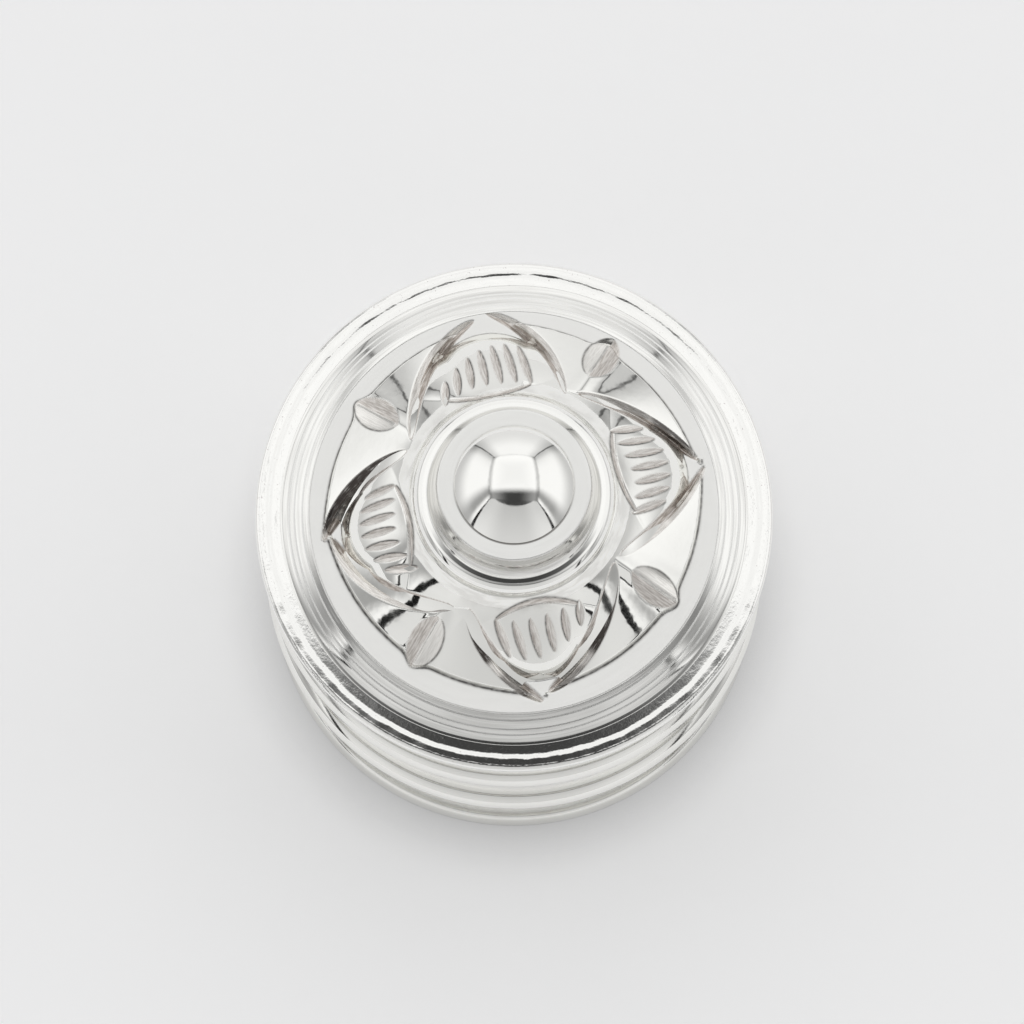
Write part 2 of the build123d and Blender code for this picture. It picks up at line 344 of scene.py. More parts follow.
class ChasedPlan:
    """Heights and marks of the chased top over a plan of points (x, y)."""

    def __init__(self, x, y):
        """Starts with no cut taken."""
        self.x, self.y = x, y
        self.r, self.a = np.hypot(x, y), np.arctan2(y, x)
        self.depth = np.zeros_like(x)
        self.along = np.zeros_like(x)
        self.across = np.zeros_like(x)
        self.tone = np.zeros_like(x)
        self.crease = np.zeros_like(x)
        self.stain = np.zeros_like(x)
        self.strokes = 0

    def cut(self, start, middle, end, width, depth, skew, tones, fullness=0.7, edge=0):
        """Takes one graver cut and notes where the points lie along and across it, and how dull the
        faces to the left and to the right of its floor line are. An edge of 1 or -1 paints a line of shade
        along its left or right edge."""
        share, across, length = along_stroke(self.x, self.y, start, middle, end)
        taken = graver_cut(share, across, width, depth, skew, fullness)
        deeper = taken > self.depth
        lens = np.clip(4 * share * (1 - share), 0, 1) ** fullness
        face = np.where(across > skew * width / 2 * lens, tones[0], tones[1])
        self.tone = np.where(deeper, face, self.tone)
        self.strokes += 1
        self.along = np.where(deeper, share * length + GRAIN_APART * self.strokes, self.along)
        self.across = np.where(deeper, across, self.across)
        self.depth = np.maximum(self.depth, taken)
        # Painted shade: a dark line along one edge of the cut
        if edge:
            line = hump(width / 2 * lens - edge * across, EDGE_SHADE_WIDTH) * smooth(lens, 0.1, 0.4)
            self.crease = np.maximum(self.crease, line)
        return share, across

    def petal(self, petal):
        """Side strokes, short cuts and base line of one petal. Gives how far each point lies inside its
        left stroke, its right stroke and its base line, negative outside, and where its arch ends."""
        swing = np.abs(swing_from(self.a, petal["axis"]))
        ahead = swing < PETAL_SPAN
        sides = []
        for side, sign in (("left", 1), ("right", -1)):
            points = [in_plan(petal, p) for p in petal[side]]
            width = petal[side + "_width"]
            depth, tones = SIDE_DEPTH * width, (1.0, 0.55)[::sign]
            share, across = self.cut(*points, width, depth, 0.05 * sign, tones, 0.45)
            outer = ahead * (across * sign < 0.03) * (across * sign > -width / 2)
            for first, last, dark in petal[side + "_stains"]:
                begun = smooth(share, first - 0.04, first + 0.04)
                ended = smooth(share, last - 0.04, last + 0.04)
                self.stain = np.maximum(self.stain, dark * begun * (1 - ended) * outer)
            sides.append(across * sign)
        for k in range(petal["cuts"]):
            place = k / (petal["cuts"] - 1)
            out_v = petal["outer"][0] + place * (petal["outer"][1] - petal["outer"][0])
            in_v = petal["inner"][0] + place * (petal["inner"][1] - petal["inner"][0])
            out_u = petal["crown"] - CROWN_BOW * (out_v - petal["lean"]) ** 2
            in_u = INNER_LINE - INNER_BOW * in_v**2 - UNEVEN * sin(5.1 * k + petal["axis"])
            tip, tail = in_plan(petal, (out_u, out_v)), in_plan(petal, (in_u, in_v))
            self.cut(tip, (tip + tail) / 2, tail, CUT_WIDTH, CUT_DEPTH, 0.2, (0.8, 0.6), 0.7, 1)
        first, last = petal["inner"]
        middle = (first + last) / 2
        line = [in_plan(petal, p) for p in ((8.75, first), (BASE_LINE, middle), (8.8, last))]
        self.cut(*line, BASE_WIDTH, BASE_DEPTH, 0.2, (0.5, 0.8), 0.35, -1)
        a = radians(petal["axis"])
        outward, leftward = self.x * cos(a) + self.y * sin(a), self.y * cos(a) - self.x * sin(a)
        above_base = outward - BASE_LINE - BASE_BOW * leftward**2
        reach = petal["arch"] - ARCH_BOW * np.minimum(swing, ARCH_SPAN) ** 2
        return [np.where(ahead, room, -9.0) for room in (*sides, above_base)], reach

    def foot(self):
        """Radius of the spandrels' foot: drawn out towards the tips of the petals, as exp(-swing / fade),
        and of the leaves, as exp(-(swing / fade)^2)."""
        foot = DOME_R + FOOT_OUT + FOOT_BACK * np.sin(self.a)
        for petal in PETALS:
            swing = swing_from(self.a, petal["axis"])
            before = BEFORE_TIP * np.exp(swing / BEFORE_FADE)
            after = AFTER_TIP * np.exp(-swing / AFTER_FADE)
            foot = foot + np.where(swing < 0, before, after)
        for angle, distance in LEAVES:
            foot = foot + AT_LEAF * hump(swing_from(self.a, angle), LEAF_FADE)
        return foot

    def heights(self):
        """Dome with swelling petals and spandrels, less what the graver took. Painted shade lies as dark
        lines along the foot and inside the petals' arches."""
        foot = self.foot()
        # Painted shade outside the spandrels' foot, wider at the front
        crease = hump(self.r - foot - CREASE_OUT, CREASE_WIDTH - CREASE_FRONT * np.sin(self.a))
        petals = [self.petal(petal) for petal in PETALS]
        apart = np.min([np.maximum(-left, -right) for (left, right, base), reach in petals], 0)
        swell = SPANDREL_SWELL * settle(apart, SPANDREL_ROUND) * settle(self.r - SEAT_R, INNER_ROUND)
        swell = swell * smooth(foot - self.r, 0, SWELL_SOFT)
        rise = soft_floor(dome_height(self.r, foot), FOOT_SOFT) + swell
        for (left, right, base), reach in petals:
            share = smooth(np.minimum(left, right), -EDGE_SOFT, EDGE_SOFT)
            swell = PETAL_SWELL * settle(left, PETAL_ROUND) * settle(right, PETAL_ROUND)
            swell = swell * settle(base, INNER_ROUND)
            inside = np.maximum(dome_height(self.r, PETAL_FOOT), 0) + swell
            inside = inside * settle(reach - self.r, ARCH_ROUND)
            rise = rise * (1 - share) + inside * share
            # Painted shade inside the petal's arch
            line = ARCH_CREASE * hump(reach - self.r - ARCH_CREASE_IN, ARCH_CREASE_WIDTH)
            crease = crease * (1 - share) + line * share
        for angle, distance in LEAVES:
            way = np.array([cos(radians(angle)), sin(radians(angle))])
            vein = [way * (distance + part * LEAF_LENGTH) for part in (0.5, 0.0, -0.5)]
            self.cut(*vein, LEAF_WIDTH, LEAF_DEPTH, 0.05, (0.75, 0.3), 0.6, -1)
        top = smooth(self.r, SEAT_R, SEAT_R + SEAT_SOFT)
        crease = crease * hump(np.maximum(rise, 0), CREASE_FADE)
        self.crease = np.maximum(self.crease, crease * (self.depth < 0.01))
        return BORDER_Z + rise - self.depth * top


# Materials

RAMP_SOCKETS = ("Value", "From Min", "From Max", "To Min", "To Max")
SATIN = (0.87, 0.867, 0.845, 1)
TARNISHED = (0.91, 0.905, 0.87, 1)


class Silver:
    """A silver with procedural detail, built of nodes round one shader."""

    def __init__(self, name, color, roughness):
        """Starts a metal shader, with places on the piece in millimetres."""
        self.material = bpy.data.materials.new(name)
        self.material.use_nodes = True
        self.tree = self.material.node_tree
        self.tree.nodes.clear()
        out = self.tree.nodes.new("ShaderNodeOutputMaterial")
        self.shader = self.tree.nodes.new("ShaderNodeBsdfPrincipled")
        self.tree.links.new(self.shader.outputs[0], out.inputs[0])
        self.shader.inputs["Metallic"].default_value = 1.0
        self.shader.inputs["Base Color"].default_value = (*color, 1)
        self.shader.inputs["Roughness"].default_value = roughness
        place = self.tree.nodes.new("ShaderNodeTexCoord")
        self.place = self.vector("SCALE", place.outputs["Object"], scale=1 / MM)

    def put(self, socket, value):
        """Sets a constant on a socket or links a value to it."""
        if isinstance(value, (int, float, tuple)):
            socket.default_value = value
        else:
            self.tree.links.new(value, socket)

    def math(self, kind, a, b=0.0, c=0.0):
        """Sum, product or the like of numbers."""
        node = self.tree.nodes.new("ShaderNodeMath")
        node.operation = kind
        for socket, value in zip(node.inputs, (a, b, c)):
            self.put(socket, value)
        return node.outputs[0]

    def vector(self, kind, a, b=(0.0, 0.0, 0.0), scale=1.0):
        """The same for places."""
        node = self.tree.nodes.new("ShaderNodeVectorMath")
        node.operation = kind
        self.put(node.inputs[0], a)
        self.put(node.inputs[1], b)
        if kind == "SCALE":
            self.put(node.inputs["Scale"], scale)
        return node.outputs["Value" if kind == "LENGTH" else "Vector"]

    def ramp(self, *values):
        """Value, low, high, first, last: first below low, last above high, eased between."""
        node = self.tree.nodes.new("ShaderNodeMapRange")
        node.interpolation_type = "SMOOTHSTEP"
        for name, value in zip(RAMP_SOCKETS, values):
            self.put(node.inputs[name], value)
        return node.outputs[0]

    def noise(self, at, scale, detail=2.0):
        """Cloudy values from 0 to 1."""
        node = self.tree.nodes.new("ShaderNodeTexNoise")
        self.put(node.inputs["Vector"], at)
        self.put(node.inputs["Scale"], scale)
        self.put(node.inputs["Detail"], detail)
        return node.outputs["Fac"]

    def mark(self, name, output="Fac"):
        """A value kept on the piece's points."""
        node = self.tree.nodes.new("ShaderNodeAttribute")
        node.attribute_name = name
        return node.outputs[output]

    def mix(self, share, first, second):
        """A colour between two."""
        node = self.tree.nodes.new("ShaderNodeMix")
        node.data_type = "RGBA"
        self.put(node.inputs["Factor"], share)
        self.put(node.inputs["A"], first)
        self.put(node.inputs["B"], second)
        return node.outputs["Result"]

    def axis(self):
        """The place across the axis, its distance from the axis, and x, y and z."""
        split = self.tree.nodes.new("ShaderNodeSeparateXYZ")
        self.put(split.inputs[0], self.place)
        flat = self.tree.nodes.new("ShaderNodeCombineXYZ")
        self.put(flat.inputs[0], split.outputs[0])
        self.put(flat.inputs[1], split.outputs[1])
        return flat.outputs[0], self.vector("LENGTH", flat.outputs[0]), split.outputs

    def round_axis(self, turns, steps):
        """Coordinates that run round the axis slowly and across it fast, without a seam: the direction
        from the axis times turns, and the distance from it and the height times steps."""
        flat, out, place = self.axis()
        way = self.vector("SCALE", self.vector("NORMALIZE", flat), scale=turns)
        lift = self.tree.nodes.new("ShaderNodeCombineXYZ")
        self.put(lift.inputs[2], self.math("MULTIPLY", self.math("ADD", out, place[2]), steps))
        return self.vector("ADD", way, lift.outputs[0])

    def bump(self, height, distance, before=None):
        """Fine relief, its height in millimetres, on top of the relief before."""
        node = self.tree.nodes.new("ShaderNodeBump")
        self.put(node.inputs["Height"], height)
        self.put(node.inputs["Distance"], distance * MM)
        self.put(node.inputs["Strength"], 1.0)
        if before is not None:
            self.put(node.inputs["Normal"], before)
        return node.outputs[0]

    def use(self, **sockets):
        """Feeds the shader's sockets and gives the material."""
        for name, value in sockets.items():
            self.put(self.shader.inputs[name.replace("_", " ")], value)
        return self.material


def polished_silver():
    """Mirror silver: a breath of tarnish and faint polishing marks round the axis."""
    s = Silver("polished_silver", (0.955, 0.952, 0.925), 0.05)
    cloud = s.noise(s.place, 0.25, 3.0)
    fine = s.noise(s.round_axis(6.0, 9.0), 1.0, 2.0)
    color = s.mix(s.ramp(cloud, 0.45, 0.75, 0.0, 0.35), (0.955, 0.952, 0.925, 1), TARNISHED)
    rough = s.ramp(fine, 0.3, 0.8, 0.04, 0.1)
    return s.use(Base_Color=color, Roughness=rough, Normal=s.bump(fine, 0.0012))


def spun_silver():
    """Spun wall: fine turning lines round the axis, softer in the shine, and left matt inside."""
    s = Silver("spun_silver", (0.94, 0.935, 0.905), 0.1)
    cloud = s.noise(s.place, 0.18, 3.0)
    lines = s.noise(s.round_axis(2.0, 7.0), 1.0, 3.0)
    color = s.mix(s.ramp(cloud, 0.4, 0.75, 0.0, 0.4), (0.92, 0.916, 0.885, 1), (0.85, 0.84, 0.81, 1))
    out = s.axis()[1]
    inside = s.ramp(out, BORE_R + 0.05, BORE_R + 0.2, 1.0, 0.0)
    rough = s.math("ADD", s.ramp(lines, 0.3, 0.75, 0.06, 0.16), s.math("MULTIPLY", inside, 0.4))
    metal = s.math("SUBTRACT", 1.0, s.math("MULTIPLY", inside, 0.6))
    return s.use(Base_Color=color, Roughness=rough, Metallic=metal, Normal=s.bump(lines, 0.004))


def rim_silver():
    """Rim ring: dressed by hand, so its shine breaks up in short ragged flecks along the ring."""
    s = Silver("rim_silver", (0.95, 0.945, 0.935), 0.06)
    flecks = s.noise(s.round_axis(70.0, 7.0), 1.0, 3.0)
    waves = s.noise(s.round_axis(9.0, 1.5), 1.0, 1.0)
    pits = s.ramp(s.noise(s.place, 5.0, 1.0), 0.69, 0.8, 0.0, 0.5)
    color = s.mix(pits, (0.955, 0.952, 0.928, 1), (0.46, 0.41, 0.4, 1))
    grit = s.noise(s.place, 9.0, 2.0)
    normal = s.bump(grit, 0.003, s.bump(waves, 0.03))
    rough = s.ramp(flecks, 0.35, 0.8, 0.05, 0.14)
    return s.use(Base_Color=color, Roughness=rough, Normal=s.bump(flecks, 0.009, normal))


def chased_silver():
    """Lid sheet: mirror dome with turning lines at its neck, satin border, painted shade in its creases,
    and cuts with warm, striped floors."""
    s = Silver("chased_silver", (0.955, 0.95, 0.94), 0.06)
    cut, satin, crease = s.mark("cut"), s.mark("satin"), s.mark("crease")
    split = s.tree.nodes.new("ShaderNodeSeparateXYZ")
    s.put(split.inputs[0], s.mark("stroke", "Vector"))
    grain_at = s.tree.nodes.new("ShaderNodeCombineXYZ")
    s.put(grain_at.inputs[0], s.math("MULTIPLY", split.outputs[0], 1.2))
    s.put(grain_at.inputs[1], s.math("MULTIPLY", split.outputs[1], 9.0))
    stripes = s.noise(grain_at.outputs[0], 1.0, 2.0)
    cloud = s.noise(s.place, 0.3, 3.0)
    grit = s.noise(s.place, 2.2, 3.0)
    fine = s.noise(s.round_axis(5.0, 8.0), 1.0, 2.0)
    plain = s.mix(s.ramp(cloud, 0.45, 0.75, 0.0, 0.3), (0.955, 0.952, 0.92, 1), TARNISHED)
    plain = s.mix(satin, plain, SATIN)
    out = s.axis()[1]
    neck = s.ramp(out, SEAT_R + 0.5, SEAT_R + 1.5, 1.0, 0.0)
    turning = s.math("MULTIPLY", neck, s.ramp(fine, 0.4, 0.65, 0.0, 0.5))
    plain = s.mix(turning, plain, (0.7, 0.69, 0.66, 1))
    # Painted shade: the creases darken the colour nearly to black, broken up by grit
    painted_shade_amount = s.math("MULTIPLY", crease, s.ramp(grit, 0.3, 0.6, 0.7, 1.0))
    plain = s.mix(painted_shade_amount, plain, (0.07, 0.065, 0.06, 1))
    floor = s.mix(s.ramp(stripes, 0.35, 0.65, 0.0, 1.0), (0.46, 0.41, 0.37, 1), (0.8, 0.755, 0.715, 1))
    color = s.mix(cut, plain, floor)
    ragged = s.math("ADD", s.math("MULTIPLY", stripes, 0.8), s.math("MULTIPLY", grit, 0.4))
    dirt = s.math("MULTIPLY", s.mark("stain"), s.ramp(ragged, 0.6, 0.9, 1.0, 0.35))
    color = s.mix(dirt, color, (0.05, 0.04, 0.035, 1))
    rough = s.math("ADD", s.math("MULTIPLY", satin, 0.25), s.ramp(fine, 0.3, 0.8, 0.04, 0.09))
    rough = s.math("ADD", rough, s.math("MULTIPLY", cut, 0.38))
    hammered = s.bump(s.noise(s.place, 0.7, 2.0), 0.012)
    lines = s.bump(fine, 0.0015, hammered)
    height = s.math("MULTIPLY", stripes, cut)
    return s.use(Base_Color=color, Roughness=rough, Normal=s.bump(height, 0.02, lines))


def plinth_silver():
    """Plinth: turned lines, darkened in the cove, a satin top, and painted shade in a line where the knob
    meets it, strongest at the front.
    """
    s = Silver("plinth_silver", (0.95, 0.945, 0.92), 0.06)
    out, place = s.axis()[1:]
    satin = s.ramp(place[2], DISC_Z - 0.05, DISC_Z - 0.01, 0.0, 1.0)
    cove = s.ramp(place[2], LEDGE_Z + 0.15, LEDGE_Z + 0.5, 0.0, 1.0)
    cove = s.math("MULTIPLY", cove, s.math("SUBTRACT", 1.0, satin))
    # Painted shade where the knob meets the plinth, strongest at the front
    ring = s.ramp(out, KNOB_R + 0.03, KNOB_R + 0.13, 1.0, 0.0)
    ring = s.math("MULTIPLY", ring, s.ramp(place[1], -4.5, 1.0, 0.8, 0.1))
    lines = s.noise(s.round_axis(2.0, 6.0), 1.0, 3.0)
    dull = s.math("MULTIPLY", cove, s.ramp(lines, 0.3, 0.7, 0.5, 1.0))
    color = s.mix(dull, (0.945, 0.942, 0.915, 1), (0.6, 0.59, 0.57, 1))
    color = s.mix(satin, color, (0.88, 0.878, 0.855, 1))
    color = s.mix(s.math("MULTIPLY", ring, satin), color, (0.12, 0.11, 0.1, 1))
    rough = s.math("ADD", s.math("MULTIPLY", satin, 0.25), s.ramp(lines, 0.3, 0.75, 0.05, 0.12))
    return s.use(Base_Color=color, Roughness=rough, Normal=s.bump(lines, 0.003))


def stepped_silver():
    """Edge of the lid sheet: turned steps with fine lines on the risers and satin treads."""
    s = Silver("stepped_silver", (0.9, 0.897, 0.87), 0.08)
    satin = s.mark("satin")
    lines = s.noise(s.round_axis(3.0, 11.0), 1.0, 3.0)
    color = s.mix(s.ramp(lines, 0.35, 0.65, 0.0, 1.0), (0.95, 0.947, 0.92, 1), (0.82, 0.815, 0.79, 1))
    color = s.mix(satin, color, SATIN)
    rough = s.math("ADD", s.math("MULTIPLY", satin, 0.25), s.ramp(lines, 0.3, 0.75, 0.06, 0.14))
    return s.use(Base_Color=color, Roughness=rough, Normal=s.bump(lines, 0.003))


def plain_silver():
    """Inside faces and fastenings: plain silver, dulled, with wiping marks."""
    s = Silver("plain_silver", (0.9, 0.89, 0.87), 0.25)
    cloud = s.noise(s.place, 0.4, 3.0)
    wiped = s.noise(s.round_axis(3.0, 4.0), 1.0, 2.0)
    color = s.mix(s.ramp(cloud, 0.4, 0.7, 0.0, 0.6), (0.91, 0.9, 0.88, 1), (0.8, 0.78, 0.74, 1))
    rough = s.ramp(wiped, 0.3, 0.7, 0.2, 0.34)
    return s.use(Base_Color=color, Roughness=rough, Normal=s.bump(wiped, 0.004))


POLISHED, SPUN, RIM = polished_silver(), spun_silver(), rim_silver()
CHASED, STEPPED, PLINTH, PLAIN = chased_silver(), stepped_silver(), plinth_silver(), plain_silver()


# Pieces

def add(piece, node, body, material):
    """Puts a finished piece on its body in place of its node."""
    piece.data.materials.append(material)
    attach(piece, body)
    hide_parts(node)
    return piece


def body_wall():
    """Tube with eased edges."""
    middle = MOUTH_Z / 2
    inner, outer = [(BORE_R, middle), (BORE_R, 0)], [(WALL_R, 0), (WALL_R, MOUTH_Z)]
    corners = inner + outer + [(BORE_R, MOUTH_Z), (BORE_R, middle)]
    return turned("body_wall_spun", eased(corners, 0.08))


def base_plate():
    """Plain disc."""
    corners = [(0, BASE_Z), (BORE_R, BASE_Z), (BORE_R, BASE_TOP), (0, BASE_TOP)]
    return turned("base_plate_disc", straight(corners))


def foot_ring():
    """Flat underneath, rounded off to the wall above."""
    toe, top = (WALL_R + FOOT_DEPTH, 0), (WALL_R, FOOT_HEIGHT)
    return turned("foot_ring_spun", joined(quarter(toe, top), straight([top, (WALL_R, 0), toe])))


def wall_band(name, middle, width, depth):
    """Half-round band."""
    low, high = (WALL_R, middle - width / 2), (WALL_R, middle + width / 2)
    return turned(name + "_half_round", joined(arc(low, high, depth, 32), straight([high, low])))


def mouth_ring():
    """Flat under the lid, rounded off to the wall below."""
    lip, heel = (WALL_R + MOUTH_RING_DEPTH, MOUTH_Z), (WALL_R, MOUTH_Z - MOUTH_RING_WIDTH)
    back = straight([lip, (WALL_R, MOUTH_Z), heel])
    return turned("mouth_ring_rounded", joined(quarter(heel, lip), back))


def lid_sleeve():
    """Plain tube."""
    bore, low = SLEEVE_R - SHEET, MOUTH_Z - SLEEVE_DEPTH
    corners = [(bore, low), (SLEEVE_R, low), (SLEEVE_R, SLEEVE_TOP), (bore, SLEEVE_TOP), (bore, low)]
    return turned("lid_sleeve_tube", straight(corners))


def rim_ring(columns=512):
    """Ring whose top falls outward at an even tilt, with a shallow hand-dressed hollow on the way: the
    height is the running sum of the tangent of tilt = fall - hollow exp(-((r - middle) / width)^2)."""
    a = np.linspace(0, 2 * np.pi, columns, endpoint=False)[None, :]
    fall, middle, width = 12.0, 18.98, 0.17
    hollow = 21.5 + 2.2 * np.cos(a - radians(112)) + 0.8 * np.sin(9 * a) + 1.2 * np.sin(23 * a + 1)
    hollow = hollow + 1.3 * np.sin(43 * a + 4 * np.sin(3 * a)) + 1.0 * np.sin(71 * a + 3 * np.sin(5 * a))
    edge, rows = RIM_R - 0.45, 40
    r = np.linspace(SEAM_R, edge, rows)[:, None]
    shift = 0.03 * np.sin(5 * a) + 0.02 * np.sin(17 * a + 2) + 0.02 * np.sin(53 * a + 5 * np.sin(4 * a))
    tilt = np.radians(fall - hollow * hump(r - middle - shift, width))
    top = RIM_Z - np.cumsum(np.tan(tilt), axis=0) * (edge - SEAM_R) / (rows - 1)
    t = np.linspace(0, np.pi / 2, 13)[1:, None]
    side_r = edge + (RIM_R - edge) * np.sin(t)
    side_z = RIM_SIDE_Z + (top[-1:] - RIM_SIDE_Z) * np.cos(t)
    under = quarter((RIM_R, RIM_SIDE_Z), (RIM_R - RIM_UNDER, MOUTH_Z), 8)[1:]
    seat = [(SLEEVE_R, MOUTH_Z), (SLEEVE_R, SLEEVE_TOP), (SEAM_R, SLEEVE_TOP), (SEAM_R, RIM_Z)]
    low = np.vstack([under, straight([under[-1], *seat])[1:-1]])
    rows_r = np.vstack([r, side_r, low[:, :1]])
    rows_z = np.vstack([top, side_z, low[:, 1:] + 0 * a])
    return swept("rim_ring_dressed", rows_r[::-1], rows_z[::-1], columns)


def knob_plinth():
    """Swelling foot, ledge, cove and flat top, hollow inside."""
    foot, ledge, inner = (PLINTH_R, SEAT_Z), (LEDGE_R, LEDGE_Z), (LEDGE_IN, LEDGE_Z + LEDGE_RISE)
    crest = (LEDGE_IN + 0.32, LEDGE_Z + 0.03)
    shoulder, lip = (DISC_R, DISC_Z - DISC_LIP), (DISC_R - DISC_LIP, DISC_Z)
    bore = LEDGE_IN - SHEET
    inside = [
        lip, (PEG_HOLE, DISC_Z), (PEG_HOLE, DISC_Z - SHEET), (DISC_R - SHEET, DISC_Z - SHEET),
        (bore, LEDGE_Z), (bore, SEAT_Z), foot,
    ]
    outline = joined(
        arc(foot, ledge, PLINTH_SWELL), straight([ledge, crest, inner]), arc(inner, shoulder, -0.2),
        quarter(shoulder, lip, 8), straight(inside),
    )
    return turned("knob_plinth_spun", outline)


def knob():
    """Cap of a ball on a flat underside, with the rivet's blind hole."""
    slope = 2 * np.arctan(KNOB_H / KNOB_R)
    ball = KNOB_R / np.sin(slope)
    t = np.linspace(slope, 0, 48)
    cap = np.stack([ball * np.sin(t), DISC_Z + KNOB_H - ball + ball * np.cos(t)], 1)
    hole = DISC_Z + PEG_REACH
    under = straight([(0, hole), (PEG_HOLE, hole), (PEG_HOLE, DISC_Z), (KNOB_R, DISC_Z)])
    return turned("knob_dome", joined(under, cap))


def lid_edge():
    """Outer part of the lid's sheet: cove, three steps and the border's edge."""
    tread_r, tread_z = 0.12, 0.025
    steps = [(COVE_R, COVE_Z)]
    for run, rise in ((0.29, 0.2), (0.5, 0.32), (0.43, 0.17)):
        r, z = steps[-1]
        steps += [(r - tread_r, z + tread_z), (r - tread_r - run, z + rise)]
    cove = arc((SEAM_R, RIM_Z), (COVE_R, COVE_Z), -0.05, 10)
    guard = cove[:1] + 0.02 * (cove[1:2] - cove[:1])
    cove = np.vstack([cove[:1], guard, cove[1:]])
    under = [
        (CHASED_R, BORDER_Z), (CHASED_R, BORDER_Z - SHEET), (SLEEVE_R - SHEET, SLEEVE_TOP),
        (SEAM_R, SLEEVE_TOP), (SEAM_R, RIM_Z - 0.04),
    ]
    outline = joined(
        cove[:-1], eased([cove[-2], *steps, (CHASED_R, BORDER_Z)], 0.035, 5)[1:], straight(under), cove[:1],
    )
    treads = [r - tread_r / 2 for r, z in steps[:-1:2]]

    def dulled(out, up):
        """The treads and the border are satin."""
        near = np.min([np.abs(out - tread) for tread in treads], 0)
        border = smooth(-out, -steps[-1][0] - 0.02, -steps[-1][0])
        return np.maximum(1 - smooth(near, tread_r / 2, tread_r / 2 + 0.02), border)

    return turned("lid_shell_steps", outline, 512, satin=dulled)


def lid_dome(columns=900):
    """Inner part of the lid's sheet: the chased top from the border in to the seat, the rivet hole and
    the underside."""
    rows = 101
    r = np.linspace(CHASED_R, SEAT_R, rows)[:, None]
    a = np.linspace(0, 2 * np.pi, columns, endpoint=False)[None, :]
    plan = ChasedPlan(r * np.cos(a), r * np.sin(a))
    z = plan.heights()
    # Radius and height of the seat, the rivet hole and the underside
    rest = np.array([
        (SEAT_R - 0.03, SEAT_Z), (PEG_HOLE, SEAT_Z), (PEG_HOLE, SEAT_Z - SHEET), (7.6, SEAT_Z - SHEET),
        (10.8, 35.8), (13.8, BORDER_Z - SHEET), (CHASED_R, BORDER_Z - SHEET),
    ])
    rows_r = np.vstack([r, rest[:, :1]])
    rows_z = np.vstack([z, rest[:, 1:] + 0 * a])

    def whole(field):
        """A mark of the chased rows with nothing on the other rows."""
        return np.vstack([field, np.zeros((len(rest), columns))]).ravel()

    # Satin where the sheet lies level with the border, and a cut's look from a little below its edge
    level = hump(z - BORDER_Z, 0.06) * (plan.r > 13.0)
    cut = np.clip(plan.depth / 0.03, 0, 1)
    stroke = np.stack([whole(plan.along), whole(plan.across), whole(0 * z)], -1)
    return swept(
        "lid_shell_chased", rows_r, rows_z, columns,
        cut=whole(cut * plan.tone), satin=whole(level * (1 - cut)), crease=whole(plan.crease),
        stain=whole(cut * plan.stain), stroke=stroke,
    )


add(body_wall(), "body_wall", "box", SPUN)
add(base_plate(), "base_plate", "box", PLAIN)
add(foot_ring(), "foot_ring", "box", SPUN)
for band, size in BANDS.items():
    add(wall_band(band, *size), band, "box", SPUN)
add(mouth_ring(), "mouth_ring", "box", SPUN)
add(lid_sleeve(), "lid_sleeve", "lid", PLAIN)
add(lid_edge(), "lid_shell", "lid", STEPPED)
add(lid_dome(), "lid_shell", "lid", CHASED)
add(rim_ring(), "rim_ring", "lid", RIM)
add(knob_plinth(), "knob_plinth", "lid", PLINTH)
add(knob(), "knob", "lid", POLISHED)
for node in ("knob_peg", "peg_washer"):
    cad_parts[node].data.materials.clear()
    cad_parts[node].data.materials.append(PLAIN)


# Tent, floor and camera

